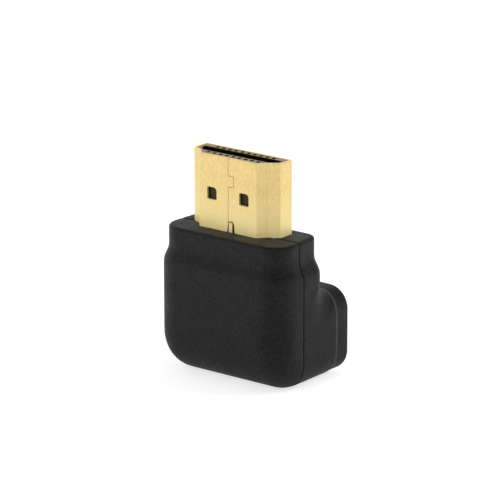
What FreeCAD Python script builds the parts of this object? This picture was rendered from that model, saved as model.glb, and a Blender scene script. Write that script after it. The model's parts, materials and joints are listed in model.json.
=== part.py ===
import FreeCAD, Part
import math
import os

Vector = FreeCAD.Vector

# All sizes are in millimetres. The row stands on z = 0, the plug points up along +Z and the
# socket opens along +Y. x = 0 and y = 0 lie in the middle of the housing.

# Housing, outside
side_room = 1.69
side_step = 0.5
front_step = 0.75
rear_step = 0.25
neck_depth = 8.7
neck_height = 2.4
shoulder_height = 2.6
shoulder_pull = 0.45
upper_body_height = 2.8
side_draft = 0.06
body_corner_radius = 3.6
body_rear_radius = 2.0
neck_corner_radius = 2.85
neck_rear_radius = 1.65
neck_rim_cut = 0.25
elbow_radius = 5.75
block_depth = 2.6
block_corner_radius = 3.0
block_rear_cut = 0.35
collar_side_step = 0.15
collar_top_step = 0.3
collar_foot_step = 0.3
collar_corner_radius = 2.9
mouth_rim_cut = 0.12
least_radius = 0.2

# Housing, inside and where its two halves meet
wall = 1.3
inner_corner_share = 0.7
head_room = 0.775
tail_room = 0.6
parting_from_front = 4.9
parting_gap = 0.08
lip_length = 1.0
lip_thickness = 0.65
lip_clearance = 0.05
post_half_width = 0.75
pin_radius = 0.45
pin_length = 1.6
pin_clearance = 0.05
pin_from_side = 0.65
upper_pin_drop = 2.4
ledge_thickness = 0.9
ledge_lap = 0.4
ledge_ends = 0.4
rib_board_gap = 0.05
opening_clearance = 0.08

# Plug outline and the sheet that both connector shells are folded from
plug_width = 13.9
plug_thickness = 4.45
plug_reach = 9.6
narrow_face_width = 9.2
side_face_height = 2.6
knee_half_width = 5.58
knee_height = 1.15
bend_radius = 0.3
sheet = 0.3
rim_bevel = 0.1
plug_offset = -0.83
plug_setback = 3.65
window_width = 1.52
window_height = 1.65
window_spacing = 5.14
window_bottom = 3.73
window_corner = 0.2
window_top_corner = 0.5
window_pocket = 0.35
seam_gap = 0.07
seam_x = 0.05
tab_width = 0.9
tab_top = 7.3
tab_height = 1.45
tab_corner = 0.22
notch_left = 0.3
notch_right = 1.2
notch_height = 1.35
notch_slope = 0.4
plug_leg_width = 1.5
leg_clearance = 0.06
leg_stub = 0.25
leg_recess = 0.1

# Plug insulator and contacts
insulator_clearance = 0.02
insulator_recess = 0.05
slot_bottom = 1.62
slot_top = 3.3
slot_half_width = 6.2
slot_foot_half_width = 5.3
slot_point_height = 2.55
slot_floor = 2.0
contact_pitch = 1.0
narrow_row_count = 9
wide_row_count = 10
contact_width = 0.3
contact_thickness = 0.2
contact_clearance = 0.02
cavity_width = 0.56
cavity_depth = 0.64
narrow_row_outer = 0.8
wide_row_outer = 4.02
cavity_lip = 0.9
cavity_opening_length = 5.6
spring_start = 3.2
spring_top = 7.9
spring_peak = 6.9
spring_proud = 0.12
base_side_overhang = 0.1
base_front_overhang = 0.25
base_flange_height = 3.6
base_lift = 1.2
foot_length = 1.1
spacer_width = 11.0
spacer_thickness = 0.9

# Socket
insertion_clearance = 0.05
socket_length = 11.4
socket_base_thickness = 1.7
socket_flange_thickness = 0.5
socket_recess = 0.1
lead_in_depth = 0.35
lead_in_growth = 0.18
tongue_half_width = 5.3
tongue_thickness = 1.3
tongue_recess = 0.9
tongue_contact_recess = 0.6
contact_proud = 0.04
socket_foot_length = 0.6
finger_width = 1.6
finger_slot = 0.18
finger_root = 2.0
finger_length = 3.9
finger_press = 0.28
finger_lift = 0.2
finger_peak_share = 0.75
wide_finger_spacing = 6.6
narrow_finger_spacing = 4.6
socket_leg_width = 1.2
socket_leg_front = 5.2
socket_leg_back = 1.2

# Circuit board
board_thickness = 1.0
board_side_gap = 0.55
board_front_gap = 0.55
board_rear_gap = 0.4
board_corner = 2.0

# Places worked out from the sizes above
plug_half_width = plug_width / 2
socket_wall = insertion_clearance + sheet
body_width = 2 * (plug_half_width + socket_wall + side_room + wall)
neck_width = body_width - 2 * side_step
collar_height = plug_thickness + 2 * (socket_wall + board_thickness + head_room + wall)
block_height = collar_foot_step + collar_height + collar_top_step
shoulder_low = block_height + upper_body_height
shoulder_high = shoulder_low + shoulder_height
housing_height = shoulder_high + neck_height
socket_tail = socket_foot_length + contact_thickness + socket_flange_thickness
housing_depth = wall + tail_room + socket_tail + socket_length + socket_recess
body_front = -housing_depth / 2
mouth_y = housing_depth / 2
neck_front = body_front + front_step
neck_back = neck_front + neck_depth
body_back = neck_back + rear_step
block_back = body_back + block_depth
elbow_y = body_front + elbow_radius
parting_y = body_front + parting_from_front
plug_y = body_front + plug_setback
side_face_low = plug_thickness - side_face_height
socket_narrow_z = collar_foot_step + (collar_height - plug_thickness) / 2
socket_y = mouth_y - socket_recess
socket_leg_pitch = socket_length - socket_leg_front - socket_leg_back
board_low_z = socket_narrow_z + plug_thickness + socket_wall
board_high_z = board_low_z + board_thickness
board_drop = housing_height - board_high_z
board_half_width = body_width / 2 - wall - board_side_gap
slot_middle = (slot_bottom + slot_top) / 2
inner_half_width = plug_half_width - sheet
overshoot = 1.0
hair = 0.01


def box(x0, x1, y0, y1, z0, z1):
    return Part.makeBox(x1 - x0, y1 - y0, z1 - z0, Vector(x0, y0, z0))


def inset_radius(radius, inset):
    return max(radius - inset, least_radius)


def offset_points(points, distance):
    """Moves every side of an anticlockwise outline outwards by the distance."""
    sides = []
    count = len(points)
    for index in range(count):
        ax, ay = points[index]
        bx, by = points[(index + 1) % count]
        length = math.hypot(bx - ax, by - ay)
        nx = (by - ay) / length
        ny = (ax - bx) / length
        sides.append((nx, ny, nx * ax + ny * ay + distance))
    moved = []
    for index in range(count):
        ax, ay, ad = sides[index - 1]
        bx, by, bd = sides[index]
        cross = ax * by - ay * bx
        moved.append(((ad * by - bd * ay) / cross, (ax * bd - bx * ad) / cross))
    return moved


def corner_arcs(points, radii):
    """Each corner's arc: where it starts, the sharp corner, where it ends and its weight."""
    arcs = []
    count = len(points)
    for index in range(count):
        corner = Vector(*points[index], 0)
        back = Vector(*points[index - 1], 0) - corner
        ahead = Vector(*points[(index + 1) % count], 0) - corner
        back.normalize()
        ahead.normalize()
        half_angle = back.getAngle(ahead) / 2
        reach = radii[index] / math.tan(half_angle)
        arcs.append((corner + back * reach, corner, corner + ahead * reach, math.sin(half_angle)))
    return arcs


def rounded_wire(points, radii):
    """A closed outline of straight sides whose corners each have their own radius."""
    edges = []
    arcs = corner_arcs(points, radii)
    for index, (start, corner, end, weight) in enumerate(arcs):
        if radii[index] > 0:
            # The middle of the arc lies between its chord and the corner by the weight.
            middle = ((start + end) / 2 + corner * weight) / (1 + weight)
            edges.append(Part.Arc(start, middle, end).toShape())
        edges.append(Part.makeLine(end, arcs[(index + 1) % len(arcs)][0]))
    return Part.Wire(edges)


def cut_wire(points, cuts):
    """A closed outline of straight sides with flat corners, each cut back by its own distance."""
    corners = []
    for start, corner, end, weight in corner_arcs(points, cuts):
        corners.append(start)
        if start.distanceToPoint(end) > hair:
            corners.append(end)
    return Part.makePolygon(corners + corners[:1])


def curved_face(rows, weights):
    """A face drawn by rows of control points, each with its weight."""
    across = len(rows)
    along = len(rows[0])
    surface = Part.BSplineSurface()
    surface.buildFromPolesMultsKnots(rows, (across, across), (along, along), (0, 1), (0, 1), False, False,
                                     across - 1, along - 1, weights)
    return surface.toShape()


def closed_solid(faces):
    shell = Part.makeShell(faces)
    shell.sewShape()
    return Part.makeSolid(shell)


def raised(shape, height):
    moved = shape.copy()
    moved.translate(Vector(0, 0, height))
    return moved


def raised_point(point, height):
    return Vector(point.x, point.y, height)


def prism(wire, z0, z1):
    """Stands an outline of the XY plane up between two heights."""
    return Part.Face(raised(wire, z0)).extrude(Vector(0, 0, z1 - z0))


def turned_to_x(shape):
    """Turns (x, y, z) into (z, x, y): an outline drawn as (y, z) runs along X."""
    shape.rotate(Vector(0, 0, 0), Vector(1, 1, 1), 120)
    return shape


def turned_to_y(shape):
    """Turns an outline drawn as (x, z) so that its prism runs along Y."""
    shape.rotate(Vector(0, 0, 0), Vector(1, 0, 0), 90)
    return shape


def prism_along_x(points, radii, x0, x1):
    return turned_to_x(prism(rounded_wire(points, radii), x0, x1))


def along_y(wire, y0, y1):
    return turned_to_y(prism(wire, -y1, -y0))


def prism_along_y(points, radii, y0, y1):
    return along_y(rounded_wire(points, radii), y0, y1)


def tapered(outlines):
    """Joins outlines, each with its height, by a skin of straight sides."""
    wires = [raised(wire, height) for wire, height in outlines]
    return Part.makeLoft(wires, True, True)


# Housing


def plan_points(half_width, front, back, draft):
    narrow = half_width - draft * (back - front)
    return [(-half_width, front), (half_width, front), (narrow, back), (-narrow, back)]


def body_plan(inset):
    points = plan_points(body_width / 2 - inset, body_front + inset, body_back - inset, 0)
    return points, [body_corner_radius, body_corner_radius, body_rear_radius, body_rear_radius]


def bend_plan(inset):
    points = plan_points(body_width / 2 - inset, body_front + inset, elbow_y, 0)
    return points, [body_corner_radius, body_corner_radius, 0, 0]


def neck_plan(inset):
    points = plan_points(neck_width / 2 - inset, neck_front + inset, neck_back - inset, side_draft)
    return points, [neck_corner_radius, neck_corner_radius, neck_rear_radius, neck_rear_radius]


def rear_section(half_width, low, high, low_radius, high_radius):
    """Outline of the housing's foot seen from behind, as (x, z)."""
    points = [(-half_width, low), (half_width, low), (half_width, high), (-half_width, high)]
    return points, [low_radius, low_radius, high_radius, high_radius]


def collar_section(inset):
    half_width = body_width / 2 - collar_side_step - inset
    low = collar_foot_step + inset
    high = collar_foot_step + collar_height - inset
    return rear_section(half_width, low, high, collar_corner_radius, collar_corner_radius)


def cavity_wire(points, radii):
    """Outline inside the wall, with flat corners that leave about the wall behind a rounded one."""
    return cut_wire(points, [max(radius - wall, 0) * inner_corner_share for radius in radii])


def foot_bend(wire):
    """Large bend at the front foot: the front of the plan swung down and back."""
    plan = Part.Face(raised(wire, elbow_radius))
    return plan.revolve(Vector(0, elbow_y, elbow_radius), Vector(1, 0, 0), 90)


def shoulder_form():
    """Smooth double curve from the body in to the neck."""
    low = corner_arcs(*body_plan(0))
    high = corner_arcs(*neck_plan(0))
    pull = shoulder_height * shoulder_pull
    stages = [(low, shoulder_low), (low, shoulder_low + pull),
              (high, shoulder_high - pull), (high, shoulder_high)]
    faces = []
    for index in range(len(low)):
        following = (index + 1) % len(low)
        start, corner, end = [[raised_point(arcs[index][part], height) for arcs, height in stages]
                              for part in range(3)]
        ahead = [raised_point(arcs[following][0], height) for arcs, height in stages]
        level = [1] * len(stages)
        bulge = [arcs[index][3] for arcs, height in stages]
        faces.append(curved_face([start, corner, end], [level, bulge, level]))
        faces.append(curved_face([end, ahead], [level, level]))
    faces.append(Part.Face(raised(rounded_wire(*body_plan(0)), shoulder_low)))
    faces.append(Part.Face(raised(rounded_wire(*neck_plan(0)), shoulder_high)))
    return closed_solid(faces)


def neck_form():
    neck = prism(rounded_wire(*neck_plan(0)), shoulder_high, housing_height)
    rim = [edge for edge in neck.Edges if edge.BoundBox.ZMin > housing_height - hair]
    return neck.makeChamfer(neck_rim_cut, rim)


def cut_rear(solid, y, cut):
    rim = [edge for edge in solid.Edges if edge.BoundBox.YMin > y - hair]
    return solid.makeChamfer(cut, rim)


def block_form():
    """Thicker foot of the body that the socket's collar grows out of."""
    section = rear_section(body_width / 2, 0, block_height, body_corner_radius, block_corner_radius)
    return cut_rear(prism_along_y(*section, elbow_y, block_back), block_back, block_rear_cut)


def collar_form():
    return cut_rear(prism_along_y(*collar_section(0), body_back, mouth_y), mouth_y, mouth_rim_cut)


def housing_outside():
    upright = prism(rounded_wire(*body_plan(0)), elbow_radius, shoulder_low)
    bend = foot_bend(rounded_wire(*bend_plan(0)))
    others = [bend, block_form(), collar_form(), shoulder_form(), neck_form()]
    return upright.fuse(others).removeSplitter()


def housing_inside():
    upright = prism(cavity_wire(*body_plan(wall)), elbow_radius, shoulder_low)
    section = rear_section(body_width / 2 - wall, wall, elbow_radius, body_corner_radius, 0)
    foot = along_y(cavity_wire(*section), elbow_y, body_back - wall)
    shoulder = tapered([(cavity_wire(*body_plan(wall)), shoulder_low),
                        (cavity_wire(*neck_plan(wall)), shoulder_high)])
    neck = prism(cavity_wire(*neck_plan(wall)), shoulder_high, housing_height - wall)
    chamber = along_y(cavity_wire(*collar_section(wall)), body_back - wall - hair, mouth_y - wall)
    bend = foot_bend(cavity_wire(*bend_plan(wall)))
    return upright.fuse([bend, foot, shoulder, neck, chamber]).removeSplitter()


def parting_section(inset):
    """Outline of the housing where its halves meet, moved in by the inset, as (x, z)."""
    body = body_width / 2 - inset
    neck = neck_width / 2 - side_draft * (parting_y - neck_front) - inset
    top = housing_height - inset
    corner = inset_radius(body_corner_radius, inset)
    points = [(-body, inset), (body, inset), (body, shoulder_low), (neck, shoulder_high), (neck, top),
              (-neck, top), (-neck, shoulder_high), (-body, shoulder_low)]
    return points, [corner, corner, 0, 0, least_radius, least_radius, 0, 0]


def parting_prism(inset, y0, y1):
    points, radii = parting_section(inset)
    return prism_along_y(points, radii, y0, y1)


def pin_places():
    side = body_width / 2 - collar_side_step - wall - pin_from_side
    low = block_height / 2
    return [(-side, low, mouth_y - wall), (side, low, mouth_y - wall),
            (side, shoulder_low - upper_pin_drop, body_back - wall)]


def post(x, z, y0, y1):
    return box(x - post_half_width, x + post_half_width, y0, y1, z - post_half_width, z + post_half_width)


def rod(x, z, radius, y0, y1):
    return Part.makeCylinder(radius, y1 - y0, Vector(x, y0, z), Vector(0, 1, 0))


def ledges(y0, y1):
    """Short shelves under and over the side edges of the board."""
    shelves = []
    outer = body_width / 2 - wall
    inner = board_half_width - ledge_lap
    upper = board_high_z + rib_board_gap
    for z0, z1 in ((board_low_z - ledge_thickness, board_low_z), (upper, upper + ledge_thickness)):
        shelves.append(box(inner, outer + hair, y0, y1, z0, z1))
        shelves.append(box(-outer - hair, -inner, y0, y1, z0, z1))
    return shelves


def housing_wall():
    """The hollow housing in one piece, with its openings for the plug and the socket."""
    plug_opening = prism(plug_wire(opening_clearance), -wall - overshoot, overshoot)
    socket_opening = prism(plug_wire(socket_wall + opening_clearance), -wall - overshoot, overshoot)
    return housing_outside().cut([housing_inside(), to_plug(plug_opening), to_socket(socket_opening)])


def front_shell(whole):
    top = housing_height + overshoot
    front = whole.common(box(-body_width, body_width, -housing_depth, parting_y, -overshoot, top))
    lip = wall - lip_thickness - lip_clearance
    front = front.cut(parting_prism(lip, parting_y - lip_length, parting_y + overshoot))
    posts = [post(x, z, body_front + wall, parting_y) for x, z, end in pin_places()]
    holes = [rod(x, z, pin_radius + pin_clearance, parting_y - pin_length - pin_clearance, parting_y)
             for x, z, end in pin_places()]
    shelves = ledges(neck_front + wall + ledge_ends, parting_y - lip_length)
    return front.fuse(posts + shelves).cut(holes).removeSplitter()


def rear_shell(whole):
    start = parting_y + parting_gap
    top = housing_height + overshoot
    rear = whole.common(box(-body_width, body_width, start, housing_depth, -overshoot, top))
    ring = parting_prism(wall - lip_thickness, parting_y - lip_length, start)
    ring = ring.cut([parting_prism(wall, parting_y - lip_length - overshoot, start + overshoot),
                     to_plug(prism(plug_wire(opening_clearance), -wall - overshoot, overshoot))])
    posts = [post(x, z, start, end + hair) for x, z, end in pin_places()]
    pins = [rod(x, z, pin_radius, parting_y - pin_length, start + overshoot) for x, z, end in pin_places()]
    shelves = ledges(start, body_back - wall)
    return rear.fuse([ring] + posts + pins + shelves).removeSplitter()


# Plug, drawn with z = 0 on the top face of the neck and y = 0 on its narrow face


def plug_points():
    narrow = narrow_face_width / 2
    return [(-narrow, 0), (narrow, 0), (knee_half_width, knee_height), (plug_half_width, side_face_low),
            (plug_half_width, plug_thickness), (-plug_half_width, plug_thickness),
            (-plug_half_width, side_face_low), (-knee_half_width, knee_height)]


def plug_wire(offset):
    """The plug's outline moved outwards by the offset, with its bends rounded to suit."""
    outward = max(bend_radius + offset, bend_radius - sheet)
    inward = max(bend_radius - sheet - offset, bend_radius - sheet)
    radii = [outward, outward, inward, outward, outward, outward, outward, inward]
    return rounded_wire(offset_points(plug_points(), offset), radii)


def sharp_plug_wire(offset):
    return cut_wire(offset_points(plug_points(), offset), [0] * len(plug_points()))


def to_plug(shape):
    moved = shape.copy()
    moved.translate(Vector(plug_offset, plug_y, housing_height))
    return moved


def window_cut(x):
    half_width = window_width / 2
    high = window_bottom + window_height
    left = x - half_width
    right = x + half_width
    points = [(left, window_bottom), (right, window_bottom), (right, high), (left, high)]
    radii = [window_corner, window_corner, window_top_corner, window_corner]
    return prism_along_y(points, radii, -overshoot, sheet + window_pocket)


def window_cuts():
    return [window_cut(side * window_spacing / 2) for side in (-1, 1)]


def seam_cuts():
    """Gap between the two folded edges, with the tab that locks one into the other."""
    back = sheet + hair
    tab_low = tab_top - tab_height
    tab_right = seam_x + tab_width
    half_gap = seam_gap / 2
    left = seam_x - half_gap
    right = seam_x + half_gap
    upper = box(left, right, -overshoot, back, tab_top - half_gap, plug_reach + overshoot)
    lower = box(left, right, -overshoot, back, 0, tab_low + half_gap)
    rings = []
    for grow in (half_gap, -half_gap):
        points = [(-tab_width, tab_low - grow), (tab_right + grow, tab_low - grow),
                  (tab_right + grow, tab_top + grow), (-tab_width, tab_top + grow)]
        corner = tab_corner + grow
        rings.append(prism_along_y(points, [0, corner, corner, 0], -overshoot, back))
    right_part = box(seam_x, tab_right + overshoot, -overshoot, back, 0, plug_reach)
    ring = rings[0].cut(rings[1]).common(right_part)
    notch_points = [(-notch_left, -wall), (notch_right, -wall),
                    (notch_right - notch_slope / 2, notch_height - notch_slope),
                    (notch_right - notch_slope, notch_height), (seam_x, notch_height)]
    notch = prism_along_y(notch_points, [0, 0, 0, 0, 0], -overshoot, back)
    return [upper, lower, ring, notch]


def plug_legs():
    legs = []
    middle = side_face_low + side_face_height / 2
    for side in (-1, 1):
        inner = side * inner_half_width
        outer = side * plug_half_width
        legs.append(box(min(inner, outer), max(inner, outer), middle - plug_leg_width / 2,
                        middle + plug_leg_width / 2, leg_recess - board_drop - board_thickness, -wall))
    return legs


def plug_shell():
    outside = prism(plug_wire(0), -wall, plug_reach - rim_bevel)
    tip = tapered([(plug_wire(0), plug_reach - rim_bevel), (plug_wire(-rim_bevel), plug_reach)])
    inside = prism(plug_wire(-sheet), -wall - overshoot, plug_reach + overshoot)
    shell = outside.fuse(tip).cut([inside] + window_cuts() + seam_cuts())
    return to_plug(shell.fuse(plug_legs()).removeSplitter())


def contact_rows():
    """Each row's side to the slot, the outer face of its strips and where they lie."""
    rows = []
    for count, outer, inward in ((narrow_row_count, narrow_row_outer, 1),
                                 (wide_row_count, wide_row_outer, -1)):
        first = -contact_pitch * (count - 1) / 2
        rows.append((outer, inward, [first + contact_pitch * index for index in range(count)]))
    return rows


def cavity_cuts():
    cuts = []
    low = base_lift - board_drop
    opening_top = plug_reach - cavity_lip
    for outer, inward, places in contact_rows():
        inner = outer + inward * cavity_depth
        for x in places:
            left = x - cavity_width / 2
            right = x + cavity_width / 2
            cuts.append(box(left, right, min(outer, inner), max(outer, inner), low - overshoot,
                            plug_reach + overshoot))
            cuts.append(box(left, right, min(inner, slot_middle), max(inner, slot_middle),
                            opening_top - cavity_opening_length, opening_top))
    return cuts


def slot_cut():
    points = [(-slot_foot_half_width, slot_bottom), (slot_foot_half_width, slot_bottom),
              (slot_half_width, slot_point_height), (slot_half_width, slot_top),
              (-slot_half_width, slot_top), (-slot_half_width, slot_point_height)]
    return prism(rounded_wire(points, [0] * len(points)), slot_floor, plug_reach + overshoot)


def plug_insulator():
    """Moulded core of the plug: a lined slot on a wider base that stands on the board."""
    top = plug_reach - insulator_recess
    low = base_lift - board_drop
    core = prism(sharp_plug_wire(-sheet - insulator_clearance), -wall, top)
    front = -base_front_overhang
    rear = plug_thickness
    flange_half_width = plug_half_width + base_side_overhang
    flange = box(-flange_half_width, flange_half_width, front, rear, -wall - base_flange_height, -wall)
    foot_half_width = inner_half_width - leg_clearance
    foot = box(-foot_half_width, foot_half_width, front, rear, low, -wall - base_flange_height)
    spacer = box(-spacer_width / 2, spacer_width / 2, slot_middle - spacer_thickness / 2,
                 slot_middle + spacer_thickness / 2, -board_drop, low)
    leg_slots = []
    middle = side_face_low + side_face_height / 2
    for side in (-1, 1):
        inner = side * (inner_half_width - leg_clearance)
        outer = side * (flange_half_width + overshoot)
        reach = plug_leg_width / 2 + leg_clearance
        leg_slots.append(box(min(inner, outer), max(inner, outer), middle - reach, middle + reach,
                             low - overshoot, -wall))
    solid = core.fuse([flange, foot, spacer])
    openings = [slot_cut()] + cavity_cuts() + leg_slots + window_cuts()
    return to_plug(solid.cut(openings).removeSplitter())


def plug_contact(x, outer, inward):
    """Strip that stands on the board, runs up its cavity and bows into the slot."""
    inner = outer + inward * contact_thickness
    slot_face = slot_bottom if inward > 0 else slot_top
    bow = slot_face + inward * spring_proud - inner
    low = -board_drop
    toe = outer - inward * foot_length
    points = [(toe, low), (inner, low), (inner, spring_start), (inner + bow, spring_peak),
              (inner, spring_top), (outer, spring_top), (outer + bow, spring_peak), (outer, spring_start),
              (outer, low + contact_thickness), (toe, low + contact_thickness)]
    if inward < 0:
        points.reverse()
    strip = prism_along_x(points, [0] * len(points), x - contact_width / 2, x + contact_width / 2)
    return to_plug(strip)


# Socket, drawn like the plug with z = 0 on its mouth and z falling into the housing


def to_socket(shape):
    """Turns a shape so that its z runs out of the mouth and its y points up."""
    moved = shape.copy()
    moved.rotate(Vector(0, 0, 0), Vector(0, 1, 1), 180)
    moved.translate(Vector(0, socket_y, socket_narrow_z))
    return moved


def socket_fingers():
    """Places of the spring fingers: x, the inner face of the shell and the way they press."""
    fingers = []
    for spacing, face, press in ((wide_finger_spacing, plug_thickness + insertion_clearance, -1),
                                 (narrow_finger_spacing, -insertion_clearance, 1)):
        for side in (-1, 1):
            fingers.append((side * spacing / 2, face, press))
    return fingers


def finger_window(x, face, press):
    half_width = finger_width / 2 + finger_slot
    y0 = face - hair if press < 0 else face - sheet - hair
    return box(x - half_width, x + half_width, y0, y0 + sheet + 2 * hair,
               -finger_root - finger_length - finger_slot, -finger_root)


def finger_strip(x, face, press):
    back = face - press * sheet
    peak = -finger_root - finger_length * finger_peak_share
    tip = -finger_root - finger_length
    rise = press * finger_press
    tip_rise = press * (finger_press - finger_lift)
    points = [(face, -finger_root), (face + rise, peak), (face + tip_rise, tip),
              (back + tip_rise, tip), (back + rise, peak), (back, -finger_root)]
    if press < 0:
        points.reverse()
    return prism_along_x(points, [0] * len(points), x - finger_width / 2, x + finger_width / 2)


def socket_legs():
    legs = []
    inner = plug_half_width + insertion_clearance
    top = plug_thickness + insertion_clearance + sheet + board_thickness + leg_stub
    middle = side_face_low + side_face_height / 2
    for side in (-1, 1):
        for row in range(2):
            z = -socket_leg_front - row * socket_leg_pitch
            near = side * inner
            far = side * (inner + sheet)
            legs.append(box(min(near, far), max(near, far), middle, top,
                            z - socket_leg_width / 2, z + socket_leg_width / 2))
    return legs


def socket_shell():
    outside = prism(plug_wire(insertion_clearance + sheet), -socket_length, 0)
    inside = prism(plug_wire(insertion_clearance), -socket_length - overshoot, overshoot)
    lead_in = tapered([(plug_wire(insertion_clearance), -lead_in_depth),
                       (plug_wire(insertion_clearance + lead_in_growth), 0)])
    windows = [finger_window(*finger) for finger in socket_fingers()]
    strips = [finger_strip(*finger) for finger in socket_fingers()]
    shell = outside.cut([inside, lead_in] + windows)
    return to_socket(shell.fuse(strips + socket_legs()).removeSplitter())


def tongue_faces():
    """The narrow and the wide face of the tongue, with the side that each contact lies on."""
    low = slot_middle - tongue_thickness / 2
    high = slot_middle + tongue_thickness / 2
    return [(low, -1), (high, 1)]


def socket_rows():
    rows = []
    for (outer, inward, places), (face, outward) in zip(contact_rows(), tongue_faces()):
        floor = face - outward * (contact_thickness - contact_proud)
        rows.append((floor, outward, places))
    return rows


def socket_insulator():
    """Tongue that the contacts lie on, with the base that closes the back of the shell."""
    base = prism(plug_wire(insertion_clearance - insulator_clearance), -socket_length,
                 socket_base_thickness - socket_length)
    flange = prism(plug_wire(socket_wall), -socket_length - socket_flange_thickness, -socket_length)
    low = slot_middle - tongue_thickness / 2
    high = slot_middle + tongue_thickness / 2
    tongue = box(-tongue_half_width, tongue_half_width, low, high, -socket_length, -tongue_recess)
    grooves = []
    back = -socket_length - socket_flange_thickness
    half_width = contact_width / 2 + contact_clearance
    for floor, outward, places in socket_rows():
        over = floor + outward * (contact_thickness + contact_clearance)
        for x in places:
            grooves.append(box(x - half_width, x + half_width, min(floor, over), max(floor, over),
                               back - overshoot, -tongue_recess - tongue_contact_recess))
    return to_socket(base.fuse([flange, tongue]).cut(grooves).removeSplitter())


def socket_contact(x, floor, outward):
    """Strip along the tongue that turns up behind the base to a foot under the board."""
    over = floor + outward * contact_thickness
    low = min(floor, over)
    high = max(floor, over)
    tip = -tongue_recess - tongue_contact_recess
    back = -socket_length - socket_flange_thickness
    top = plug_thickness + insertion_clearance + sheet
    toe = back - contact_thickness - socket_foot_length
    under = top - contact_thickness
    points = [(low, tip), (low, back - contact_thickness), (under, back - contact_thickness), (under, toe),
              (top, toe), (top, back), (high, back), (high, tip)]
    points.reverse()
    strip = prism_along_x(points, [0] * len(points), x - contact_width / 2, x + contact_width / 2)
    return to_socket(strip)


# Circuit board


def circuit_board():
    front = body_front + wall + board_front_gap
    back = mouth_y - wall - board_rear_gap
    side = board_half_width
    points = [(-side, front), (side, front), (side, back), (-side, back)]
    board = prism(rounded_wire(points, [board_corner, board_corner, 0, 0]), board_low_z, board_high_z)
    slots = []
    for legs, place in ((plug_legs(), to_plug), (socket_legs(), to_socket)):
        for leg in legs:
            bounds = place(leg).BoundBox
            slots.append(box(bounds.XMin - leg_clearance, bounds.XMax + leg_clearance,
                             bounds.YMin - leg_clearance, bounds.YMax + leg_clearance,
                             board_low_z - overshoot, board_high_z + overshoot))
    return board.cut(slots)


def numbered_contacts(prefix, rows, make):
    contacts = {}
    for face, way, places in rows:
        for x in places:
            contacts["%s_contact_%02d" % (prefix, len(contacts) + 1)] = make(x, face, way)
    return contacts


def all_nodes():
    whole = housing_wall()
    nodes = {
        "front_shell": front_shell(whole),
        "rear_shell": rear_shell(whole),
        "plug_shell": plug_shell(),
        "plug_insulator": plug_insulator(),
        "circuit_board": circuit_board(),
        "socket_shell": socket_shell(),
        "socket_insulator": socket_insulator(),
    }
    nodes.update(numbered_contacts("plug", contact_rows(), plug_contact))
    nodes.update(numbered_contacts("socket", socket_rows(), socket_contact))
    return nodes


os.makedirs("parts", exist_ok=True)
for name, shape in all_nodes().items():
    solid = shape.Solids[0] if len(shape.Solids) == 1 else shape
    solid.exportStep("parts/%s.step" % name)
    print(name, "solids", len(shape.Solids), "valid", shape.isValid(), "volume", round(shape.Volume, 3))
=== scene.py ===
import json
import math

import bpy
import numpy as np
from mathutils import Matrix, Vector


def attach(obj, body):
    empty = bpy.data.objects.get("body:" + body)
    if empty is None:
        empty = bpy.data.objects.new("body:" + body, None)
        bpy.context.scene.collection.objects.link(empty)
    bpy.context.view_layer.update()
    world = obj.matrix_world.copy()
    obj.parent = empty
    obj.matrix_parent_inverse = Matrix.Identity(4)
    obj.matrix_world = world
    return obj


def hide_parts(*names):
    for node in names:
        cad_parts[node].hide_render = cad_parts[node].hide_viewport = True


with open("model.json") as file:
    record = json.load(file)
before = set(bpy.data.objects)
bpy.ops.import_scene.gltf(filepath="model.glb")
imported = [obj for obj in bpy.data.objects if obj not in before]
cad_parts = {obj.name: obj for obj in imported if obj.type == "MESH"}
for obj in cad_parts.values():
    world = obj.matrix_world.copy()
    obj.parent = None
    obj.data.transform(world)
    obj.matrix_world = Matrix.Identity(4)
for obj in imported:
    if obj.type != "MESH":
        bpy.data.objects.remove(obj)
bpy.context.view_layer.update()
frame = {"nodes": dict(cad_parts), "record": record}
mm = 0.001
print("frame loaded:", len(frame["nodes"]), "nodes")


# Camera: the photograph's own view, long lens and no shift. Places are in mm, clips in metres.
camera = {"azimuth": 37.84, "elevation": 16.80, "distance": 450, "aim": (1.81, -2.525, 17.42),
          "lens": 255.3, "clipNear": 0.01, "clipFar": 20}


# Unit vector from the object towards a viewer, a lamp or a part of the room: azimuth 0 is the
# front and grows to the right, elevation grows upwards
def towards(azimuth, elevation):
    turn, tilt = math.radians(azimuth), math.radians(elevation)
    return Vector((math.sin(turn) * math.cos(tilt), -math.cos(turn) * math.cos(tilt), math.sin(tilt)))


def placeCamera(settings):
    turn = math.radians(settings["azimuth"])
    back = towards(settings["azimuth"], settings["elevation"])
    right = Vector((math.cos(turn), math.sin(turn), 0))
    up = back.cross(right)
    place = (Vector(settings["aim"]) + back * settings["distance"]) * mm
    data = bpy.data.cameras.new("photoCamera")
    data.lens = settings["lens"]
    data.clip_start = settings["clipNear"]
    data.clip_end = settings["clipFar"]
    holder = bpy.data.objects.new("photoCamera", data)
    holder.matrix_world = Matrix.Translation(place) @ Matrix((right, up, back)).transposed().to_4x4()
    bpy.context.scene.collection.objects.link(holder)
    bpy.context.scene.camera = holder


placeCamera(camera)
bpy.context.scene.view_settings.view_transform = "Standard"
print("camera placed")


# Shader helpers
def newMaterial(name):
    material = bpy.data.materials.new(name)
    material.use_nodes = True
    nodes = material.node_tree.nodes
    nodes.clear()
    output = nodes.new("ShaderNodeOutputMaterial")
    shader = nodes.new("ShaderNodeBsdfPrincipled")
    material.node_tree.links.new(shader.outputs[0], output.inputs[0])
    return material, nodes, material.node_tree.links, shader


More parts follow.
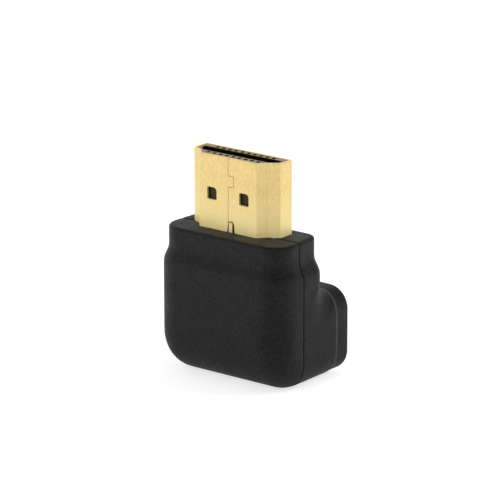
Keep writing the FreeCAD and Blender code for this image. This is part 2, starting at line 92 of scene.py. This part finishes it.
def newGroup(name, inputs, outputs):
    tree = bpy.data.node_groups.new(name, "ShaderNodeTree")
    for label, value in inputs.items():
        socket = tree.interface.new_socket(label, in_out="INPUT", socket_type="NodeSocketFloat")
        socket.default_value = value
    for label in outputs:
        tree.interface.new_socket(label, in_out="OUTPUT", socket_type="NodeSocketFloat")
    return tree, tree.nodes.new("NodeGroupInput"), tree.nodes.new("NodeGroupOutput")


def useGroup(nodes, tree, values):
    node = nodes.new("ShaderNodeGroup")
    node.node_tree = tree
    for label, value in values.items():
        node.inputs[label].default_value = value
    return node


# Sets a socket to a fixed value, or links it to another node's output
def feed(links, socket, value):
    if isinstance(value, bpy.types.NodeSocket):
        links.new(value, socket)
    else:
        socket.default_value = value


def mathNode(nodes, links, operation, *inputs):
    node = nodes.new("ShaderNodeMath")
    node.operation = operation
    for index, value in enumerate(inputs):
        feed(links, node.inputs[index], value)
    return node.outputs[0]


def mapNode(nodes, links, value, start, end, low=0, high=1, kind="LINEAR"):
    node = nodes.new("ShaderNodeMapRange")
    node.interpolation_type = kind
    links.new(value, node.inputs["Value"])
    for label, number in (("From Min", start), ("From Max", end), ("To Min", low), ("To Max", high)):
        node.inputs[label].default_value = number
    return node.outputs["Result"]


def mixColour(nodes, links, factor, under, over):
    mix = nodes.new("ShaderNodeMix")
    mix.data_type = "RGBA"
    links.new(factor, mix.inputs["Factor"])
    for label, colour in (("A", under), ("B", over)):
        feed(links, mix.inputs[label], (*colour, 1) if isinstance(colour, tuple) else colour)
    return mix.outputs["Result"]


def mixValue(nodes, links, factor, under, over):
    mix = nodes.new("ShaderNodeMix")
    links.new(factor, mix.inputs["Factor"])
    feed(links, mix.inputs["A"], under)
    feed(links, mix.inputs["B"], over)
    return mix.outputs["Result"]


# Place of the surface along one axis of the object, in metres
def objectPlace(nodes, links, axis):
    place = nodes.new("ShaderNodeTexCoord")
    parts = nodes.new("ShaderNodeSeparateXYZ")
    links.new(place.outputs["Object"], parts.inputs[0])
    return parts.outputs[axis]


# Rises from 0 at one height on the object to 1 at a fade's length below it
def depthMask(nodes, links, top, fade):
    return mapNode(nodes, links, objectPlace(nodes, links, "Z"), top * mm, (top - fade) * mm)


# Rises to 1 at one depth on the object and falls away smoothly on both sides of it
def bandMask(nodes, links, depth, half):
    away = mathNode(nodes, links, "SUBTRACT", objectPlace(nodes, links, "Y"), depth * mm)
    away = mathNode(nodes, links, "ABSOLUTE", away)
    return mapNode(nodes, links, away, half * mm, 0, kind="SMOOTHSTEP")


# Fine grain of a moulded or stamped surface: two sizes of noise, as a height, a mask and specks.
# An along share under 1 draws the grain out in height.
grainDetail = {"fine": 3, "broad": 4}
grainSpread = (0.3, 0.7)  # most of the noise lies between these values
grainInputs = {"Fine Scale": "fineScale", "Broad Scale": "broadScale", "Broad Share": "broadShare",
               "Along Share": "alongShare"}


def makeGrainGroup():
    tree, given, result = newGroup(
        "surfaceGrain",
        {"Fine Scale": 9000.0, "Broad Scale": 900.0, "Broad Share": 0.3, "Along Share": 1.0},
        ("Height", "Mask", "Speck"))
    nodes, links = tree.nodes, tree.links
    place = nodes.new("ShaderNodeTexCoord")
    drawn = nodes.new("ShaderNodeCombineXYZ")
    drawn.inputs["X"].default_value = 1
    drawn.inputs["Y"].default_value = 1
    links.new(given.outputs["Along Share"], drawn.inputs["Z"])
    stretched = nodes.new("ShaderNodeVectorMath")
    stretched.operation = "MULTIPLY"
    links.new(place.outputs["Object"], stretched.inputs[0])
    links.new(drawn.outputs[0], stretched.inputs[1])
    noises = {}
    for size, label in (("fine", "Fine Scale"), ("broad", "Broad Scale")):
        noise = nodes.new("ShaderNodeTexNoise")
        noise.inputs["Detail"].default_value = grainDetail[size]
        links.new(stretched.outputs[0], noise.inputs["Vector"])
        links.new(given.outputs[label], noise.inputs["Scale"])
        noises[size] = noise.outputs["Fac"]
    share = mathNode(nodes, links, "MULTIPLY", noises["broad"], given.outputs["Broad Share"])
    height = mathNode(nodes, links, "ADD", noises["fine"], share)
    links.new(height, result.inputs["Height"])
    links.new(noises["broad"], result.inputs["Mask"])
    links.new(noises["fine"], result.inputs["Speck"])
    return tree


grainGroup = makeGrainGroup()


# One finish: grain, then specks, a painted highlight band, and painted light and shade by height (a
# lighter foot, a dark inside and pocket) where the settings name them
def makeSurface(name, settings):
    material, nodes, links, shader = newMaterial(name)
    grain = useGroup(nodes, grainGroup, {label: settings[key] for label, key in grainInputs.items()})
    mask = grain.outputs["Mask"]
    colour = mixColour(nodes, links, mask, settings["colourLow"], settings["colourHigh"])
    if "speckColour" in settings:
        share = mapNode(nodes, links, grain.outputs["Speck"], *grainSpread,
                        settings["speckFloor"], settings["speckShare"])
        colour = mixColour(nodes, links, share, colour, settings["speckColour"])
    # Painted highlight: a lighter band along one depth, where a rounded edge catches light
    if "ridgeHighlightColour" in settings:
        share = bandMask(nodes, links, settings["ridgeHighlightDepth"], settings["ridgeHighlightHalf"])
        colour = mixColour(nodes, links, share, colour, settings["ridgeHighlightColour"])
    # Painted light and shade by height: the foot is painted lighter against the shade it gets, and the
    # inside and the pocket are painted dark as shade
    for part in ("foot", "inside", "pocket"):
        if part + "Colour" in settings:
            share = depthMask(nodes, links, settings[part + "Top"], settings[part + "Fade"])
            colour = mixColour(nodes, links, share, colour, settings[part + "Colour"])
    links.new(colour, shader.inputs["Base Color"])
    rough = mapNode(nodes, links, mask, *grainSpread, settings["roughLow"], settings["roughHigh"])
    links.new(rough, shader.inputs["Roughness"])
    shader.inputs["Metallic"].default_value = settings["metallic"]
    shader.inputs["Specular IOR Level"].default_value = settings["specular"]
    if "sheen" in settings:
        shader.inputs["Sheen Weight"].default_value = settings["sheen"]
        shader.inputs["Sheen Roughness"].default_value = settings["sheenRough"]
    bump = nodes.new("ShaderNodeBump")
    bump.inputs["Strength"].default_value = settings["bump"]
    bump.inputs["Distance"].default_value = settings["bumpDepth"] * mm
    links.new(grain.outputs["Height"], bump.inputs["Height"])
    links.new(bump.outputs["Normal"], shader.inputs["Normal"])
    return material


housingPlastic = {
    "fineScale": 4600.0, "broadScale": 500.0, "broadShare": 0.4, "alongShare": 1.0,
    "colourLow": (0.003, 0.003, 0.0032), "colourHigh": (0.0045, 0.0045, 0.0047),
    "speckColour": (0.013, 0.013, 0.014), "speckFloor": -0.5, "speckShare": 1.3,
    # Painted highlight: a lighter band along the block's rear ridge
    "ridgeHighlightColour": (0.032, 0.032, 0.033), "ridgeHighlightDepth": 4.78, "ridgeHighlightHalf": 0.5,
    "roughLow": 0.55, "roughHigh": 0.65, "metallic": 0.0, "specular": 0.315,
    "sheen": 0.07, "sheenRough": 0.3, "bump": 1.0, "bumpDepth": 0.08,
}
goldPlating = {
    "fineScale": 4200.0, "broadScale": 1300.0, "broadShare": 0.5, "alongShare": 0.5,
    "colourLow": (0.88, 0.645, 0.255), "colourHigh": (0.98, 0.765, 0.34),
    "speckColour": (0.62, 0.44, 0.16), "speckFloor": -0.1, "speckShare": 0.35,
    # Painted light: the gold is painted lighter towards the plug's foot, against the shade there
    "footColour": (1.0, 0.82, 0.38), "footTop": 25.5, "footFade": 5.8,
    "roughLow": 0.42, "roughHigh": 0.54, "metallic": 0.35, "specular": 0.5,
    "bump": 0.15, "bumpDepth": 0.01,
}
plugInsulator = {
    "fineScale": 6000.0, "broadScale": 700.0, "broadShare": 0.4, "alongShare": 1.0,
    "colourLow": (0.21, 0.165, 0.10), "colourHigh": (0.29, 0.23, 0.14),
    # Painted shade: below the top face the insulator is painted near black, as the shade inside the plug
    "insideColour": (0.002, 0.0016, 0.001), "insideTop": 29.24, "insideFade": 0.06,
    # Painted shade: deeper still, the insulator seen through the shell's windows is painted dark brown
    "pocketColour": (0.055, 0.041, 0.023), "pocketTop": 26.5, "pocketFade": 0.5,
    "roughLow": 0.55, "roughHigh": 0.7, "metallic": 0.0, "specular": 0.2,
    "bump": 0.3, "bumpDepth": 0.01,
}
socketInsulator = {
    "fineScale": 6000.0, "broadScale": 700.0, "broadShare": 0.4, "alongShare": 1.0,
    "colourLow": (0.012, 0.012, 0.013), "colourHigh": (0.02, 0.02, 0.021),
    "roughLow": 0.4, "roughHigh": 0.55, "metallic": 0.0, "specular": 0.4,
    "bump": 0.3, "bumpDepth": 0.01,
}
nickelPlating = {
    "fineScale": 5000.0, "broadScale": 500.0, "broadShare": 0.5, "alongShare": 1.0,
    "colourLow": (0.62, 0.60, 0.56), "colourHigh": (0.70, 0.68, 0.64),
    "roughLow": 0.25, "roughHigh": 0.35, "metallic": 1.0, "specular": 0.5,
    "bump": 0.1, "bumpDepth": 0.01,
}
contactGold = {
    "fineScale": 5000.0, "broadScale": 900.0, "broadShare": 0.5, "alongShare": 1.0,
    "colourLow": (0.80, 0.58, 0.22), "colourHigh": (0.86, 0.65, 0.28),
    "roughLow": 0.2, "roughHigh": 0.3, "metallic": 1.0, "specular": 0.5,
    "bump": 0.1, "bumpDepth": 0.01,
}
boardLaminate = {
    "fineScale": 3000.0, "broadScale": 500.0, "broadShare": 0.5, "alongShare": 1.0,
    "colourLow": (0.01, 0.08, 0.03), "colourHigh": (0.02, 0.12, 0.05),
    "roughLow": 0.25, "roughHigh": 0.4, "metallic": 0.0, "specular": 0.5,
    "bump": 0.2, "bumpDepth": 0.01,
}

materials = {
    "housing_plastic": makeSurface("housingPlastic", housingPlastic),
    "gold_plated_shell": makeSurface("goldPlating", goldPlating),
    "insulator_plastic": makeSurface("plugInsulator", plugInsulator),
    "socket_insulator_plastic": makeSurface("socketInsulator", socketInsulator),
    "nickel_plated_shell": makeSurface("nickelPlating", nickelPlating),
    "contact_gold": makeSurface("contactGold", contactGold),
    "board_laminate": makeSurface("boardLaminate", boardLaminate),
}
slotOfNode = {entry["node"]: entry["material_slot"] for entry in frame["record"]["subparts"]}
for nodeName, nodeObject in frame["nodes"].items():
    nodeObject.data.materials.clear()
    nodeObject.data.materials.append(materials[slotOfNode[nodeName]])
print("materials made:", len(materials))


# Housing halves: the CAD halves with their facets smoothed away on a fine even mesh. The heel is
# where the body's rear runs in to the block at the foot. All lengths are in mm.
housingSkin = {"voxel": {"front_shell": 0.14, "rear_shell": 0.152}, "weld": 0.002,
               "rounds": 2, "roundShare": 0.5,
               "partingY": -2.45, "partingClose": 0.048, "partingReach": 0.12}
heelShape = {"bodyHalf": 10.29, "bodyRear": 2.35, "bodyCorner": 2.0, "blockTop": 11.9, "blockCorner": 3.0}
heelLift = {"lift": 1.5, "ridgeY": 4.7, "skin": 0.25, "wall": 0.6, "fade": 2.4}
heelBlend = {"samples": 161, "reach": 2.4, "plateau": 2.5, "weightSteps": 10,
             "rounds": 554, "roundShare": 0.5}


def readPoints(mesh):
    points = np.empty(len(mesh.vertices) * 3)
    mesh.vertices.foreach_get("co", points)
    return points.reshape(-1, 3) / mm


def writePoints(mesh, points):
    mesh.vertices.foreach_set("co", (points * mm).ravel())


def addSmooth(piece, rounds, share, group=""):
    smooth = piece.modifiers.new("smooth", "SMOOTH")
    smooth.iterations = rounds
    smooth.factor = share
    smooth.vertex_group = group


def bakeModifiers(piece):
    graph = bpy.context.evaluated_depsgraph_get()
    shaped = bpy.data.meshes.new_from_object(piece.evaluated_get(graph))
    piece.modifiers.clear()
    piece.data = shaped
    piece.vertex_groups.clear()


# Rounded edge: a flat face at one level that ends in a quarter circle, so past the circle's start
# the level drops to centre + root of (corner squared - way past the start squared)
def roundedEdge(across, half, level, corner):
    past = np.clip(np.abs(across) - (half - corner), 0, None)
    return level - corner + np.sqrt(np.clip(corner ** 2 - past ** 2, 0, None))


def bodyRearAt(across, shape):
    return roundedEdge(across, shape["bodyHalf"], shape["bodyRear"], shape["bodyCorner"])


# Line of the heel from side to side: its depth follows the body's rounded rear and its height the
# block's rounded roof, both by the place across
def heelLine(shape, samples):
    across = np.linspace(-1, 1, samples) * shape["bodyHalf"]
    height = roundedEdge(across, shape["bodyHalf"], shape["blockTop"], shape["blockCorner"])
    return np.stack([across, bodyRearAt(across, shape), height], 1)


# Lifts the block's roof into a hollow ramp against the body: the lift falls with the square of
# the way from the body to the ridge, and with the square of the sine round the block's corner.
# Over the roof it fades out smoothly, and the inner faces of the wall stay where they are.
def liftHeel(mesh, shape, settings):
    points = readPoints(mesh)
    across, depth, height = points.T
    past = np.clip(np.abs(across) - (shape["bodyHalf"] - shape["blockCorner"]), 0, None)
    rise = np.clip(height - (shape["blockTop"] - shape["blockCorner"]), 0, None)
    radius = np.hypot(past, rise)
    innerRadius = shape["blockCorner"] - settings["wall"]
    bodyRear = bodyRearAt(across, shape)
    outside = (radius > innerRadius) & (depth > bodyRear - settings["skin"])
    way = (depth - bodyRear) / (settings["ridgeY"] - bodyRear)
    ramp = (1 - np.clip(way, 0, 1)) ** 2
    turned = (rise / np.maximum(radius, innerRadius)) ** 2
    over = np.clip(1 - (radius - shape["blockCorner"]) / settings["fade"], 0, 1)
    over = over ** 2 * (3 - 2 * over)
    points[:, 2] += settings["lift"] * ramp * turned * over * outside
    writePoints(mesh, points)


# Smooths the heel only: a point's share is plateau times (1 - distance to the line / reach), held
# between 0 and 1, so it is 1 near the line and 0 from the reach on
def softenHeel(piece, shape, settings):
    points = readPoints(piece.data)
    nearest = np.full(len(points), np.inf)
    for sample in heelLine(shape, settings["samples"]):
        nearest = np.minimum(nearest, ((points - sample) ** 2).sum(1))
    share = np.clip((1 - np.sqrt(nearest) / settings["reach"]) * settings["plateau"], 0, 1)
    group = piece.vertex_groups.new(name="heel")
    steps = settings["weightSteps"]
    for step in range(1, steps + 1):
        chosen = np.nonzero(np.round(share * steps) == step)[0]
        group.add(chosen.tolist(), step / steps, "REPLACE")
    addSmooth(piece, settings["rounds"], settings["roundShare"], group.name)
    bakeModifiers(piece)


# Draws the rim at the parting towards the parting plane, so that the seam shows as a fine line:
# a point moves by the close way times (1 - its distance from the plane / reach)
def closeParting(mesh, settings):
    points = readPoints(mesh)
    away = points[:, 1] - settings["partingY"]
    share = np.clip(1 - np.abs(away) / settings["partingReach"], 0, 1)
    points[:, 1] -= np.sign(away) * share * settings["partingClose"]
    writePoints(mesh, points)


def smoothedHalf(nodeName, settings):
    piece = bpy.data.objects.new(nodeName + "_skin", frame["nodes"][nodeName].data.copy())
    bpy.context.scene.collection.objects.link(piece)
    weld = piece.modifiers.new("weld", "WELD")
    weld.merge_threshold = settings["weld"] * mm
    remesh = piece.modifiers.new("remesh", "REMESH")
    remesh.mode = "VOXEL"
    remesh.voxel_size = settings["voxel"][nodeName] * mm
    remesh.use_smooth_shade = True
    addSmooth(piece, settings["rounds"], settings["roundShare"])
    bakeModifiers(piece)
    if nodeName == "rear_shell":
        liftHeel(piece.data, heelShape, heelLift)
        softenHeel(piece, heelShape, heelBlend)
    closeParting(piece.data, settings)
    piece.data.materials.clear()
    piece.data.materials.append(materials["housing_plastic"])
    piece.data.shade_smooth()
    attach(piece, "root")
    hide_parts(nodeName)
    print(nodeName, "smoothed:", len(piece.data.polygons), "faces")


for half in housingSkin["voxel"]:
    smoothedHalf(half, housingSkin)


# Leaf bent in to the notch at the plug's foot
notchLeaf = {"left": -0.75, "right": -0.2, "bottom": 19.3, "top": 20.85, "front": -3.65, "lean": 0.05,
             "thick": 0.14, "bulge": 0.015, "across": 9, "along": 17}


# A flat grid across and along, whose depth adds the lean times the square of the way along and the
# bulge times the square of the place from the middle to the edge
def makeNotchLeaf(settings):
    columns, rows = settings["across"], settings["along"]
    across, along = np.meshgrid(np.linspace(0, 1, columns), np.linspace(0, 1, rows))
    wide = settings["left"] + (settings["right"] - settings["left"]) * across
    high = settings["bottom"] + (settings["top"] - settings["bottom"]) * along
    deep = settings["front"] + settings["lean"] * along ** 2 + settings["bulge"] * (2 * across - 1) ** 2
    points = np.stack([wide, deep, high], -1).reshape(-1, 3) * mm
    first = np.arange(rows - 1)[:, None] * columns + np.arange(columns - 1)[None]
    faces = np.stack([first, first + 1, first + 1 + columns, first + columns], -1).reshape(-1, 4)
    mesh = bpy.data.meshes.new("notchLeaf")
    mesh.from_pydata(points.tolist(), [], faces.tolist())
    mesh.shade_smooth()
    mesh.materials.append(materials["gold_plated_shell"])
    leaf = bpy.data.objects.new("notchLeaf", mesh)
    bpy.context.scene.collection.objects.link(leaf)
    wall = leaf.modifiers.new("wall", "SOLIDIFY")
    wall.thickness = settings["thick"] * mm
    wall.offset = -1
    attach(leaf, "root")


makeNotchLeaf(notchLeaf)
print("notch leaf made")


# Studio: white world, pale floor and soft lamps. The dark values belong to the world's dim side,
# as angles round one direction, and the dull ones to the floor near one place, in mm.
studio = {"floorSize": 3.0, "floorColour": (0.45, 0.45, 0.45), "floorRough": 0.9, "floorSpecular": 0.2,
          "floorGlow": 0.66, "dullPlace": (28.0, -36.0), "dullCore": 12.0, "dullEdge": 90.0,
          "ambient": 0.75, "darkMirror": 0.06, "darkAzimuth": 60.0, "darkElevation": 50.0,
          "darkCore": 60.0, "darkEdge": 100.0}
lamps = {
    "frontLamp": {"azimuth": -8.0, "elevation": 28.0, "distance": 0.6, "size": 0.35, "power": 1.58},
    "rearLamp": {"azimuth": 125.0, "elevation": 30.0, "distance": 0.6, "size": 0.35, "power": 2.1},
}


# Camera rays and rays through glass see the background as it is
def clearRays(nodes, links):
    path = nodes.new("ShaderNodeLightPath")
    clear = mathNode(nodes, links, "MAXIMUM", path.outputs["Is Camera Ray"],
                     path.outputs["Is Transmission Ray"])
    return path, clear


# The floor glows by itself to the camera and through glass. In gloss the glow is full far away
# and falls to nothing near the dull place, where the dim side of the room lies.
def makeFloor(settings):
    half = settings["floorSize"] / 2
    mesh = bpy.data.meshes.new("studioFloor")
    corners = [(-half, -half, 0), (half, -half, 0), (half, half, 0), (-half, half, 0)]
    mesh.from_pydata(corners, [], [(0, 1, 2, 3)])
    floor = bpy.data.objects.new("studioFloor", mesh)
    bpy.context.scene.collection.objects.link(floor)
    material, nodes, links, shader = newMaterial("studioFloor")
    shader.inputs["Base Color"].default_value = (*settings["floorColour"], 1)
    shader.inputs["Roughness"].default_value = settings["floorRough"]
    shader.inputs["Specular IOR Level"].default_value = settings["floorSpecular"]
    place = nodes.new("ShaderNodeTexCoord")
    apart = nodes.new("ShaderNodeVectorMath")
    apart.operation = "DISTANCE"
    links.new(place.outputs["Object"], apart.inputs[0])
    apart.inputs[1].default_value = (settings["dullPlace"][0] * mm, settings["dullPlace"][1] * mm, 0)
    lit = mapNode(nodes, links, apart.outputs["Value"], settings["dullCore"] * mm,
                  settings["dullEdge"] * mm, kind="SMOOTHSTEP")
    path, clear = clearRays(nodes, links)
    mirrored = mathNode(nodes, links, "MULTIPLY", path.outputs["Is Glossy Ray"], lit)
    seen = mathNode(nodes, links, "MAXIMUM", clear, mirrored)
    glow = nodes.new("ShaderNodeEmission")
    links.new(mathNode(nodes, links, "MULTIPLY", seen, settings["floorGlow"]), glow.inputs["Strength"])
    both = nodes.new("ShaderNodeAddShader")
    links.new(shader.outputs[0], both.inputs[0])
    links.new(glow.outputs[0], both.inputs[1])
    output = next(node for node in nodes if node.type == "OUTPUT_MATERIAL")
    links.new(both.outputs[0], output.inputs[0])
    mesh.materials.append(material)


# The world is white to the camera and through glass. In gloss it falls smoothly from white to the
# dark mirror value round one fixed direction, as a studio does towards its dim side, and every
# other ray meets an even ambient.
def makeWorld(settings):
    world = bpy.data.worlds.new("studioWorld")
    world.use_nodes = True
    nodes, links = world.node_tree.nodes, world.node_tree.links
    background = next(node for node in nodes if node.type == "BACKGROUND")
    background.inputs["Color"].default_value = (1, 1, 1, 1)
    direction = nodes.new("ShaderNodeTexCoord")
    facing = nodes.new("ShaderNodeVectorMath")
    facing.operation = "DOT_PRODUCT"
    links.new(direction.outputs["Generated"], facing.inputs[0])
    facing.inputs[1].default_value = towards(settings["darkAzimuth"], settings["darkElevation"])
    edge, core = (math.cos(math.radians(settings[key])) for key in ("darkEdge", "darkCore"))
    dimmed = mapNode(nodes, links, facing.outputs["Value"], edge, core, 1, settings["darkMirror"],
                     kind="SMOOTHSTEP")
    path, clear = clearRays(nodes, links)
    lighting = mixValue(nodes, links, path.outputs["Is Glossy Ray"], settings["ambient"], dimmed)
    links.new(mixValue(nodes, links, clear, lighting, 1), background.inputs["Strength"])
    bpy.context.scene.world = world


def makeLamp(name, settings):
    data = bpy.data.lights.new(name, "AREA")
    data.shape = "DISK"
    data.size = settings["size"]
    data.energy = settings["power"]
    lamp = bpy.data.objects.new(name, data)
    lamp.visible_glossy = False  # the white room and floor alone show as gloss
    away = towards(settings["azimuth"], settings["elevation"])
    place = Vector(camera["aim"]) * mm + away * settings["distance"]
    turned = (-away).to_track_quat("-Z", "Y").to_matrix().to_4x4()
    lamp.matrix_world = Matrix.Translation(place) @ turned
    bpy.context.scene.collection.objects.link(lamp)


makeFloor(studio)
makeWorld(studio)
for lampName, lampSettings in lamps.items():
    makeLamp(lampName, lampSettings)
print("studio lit")
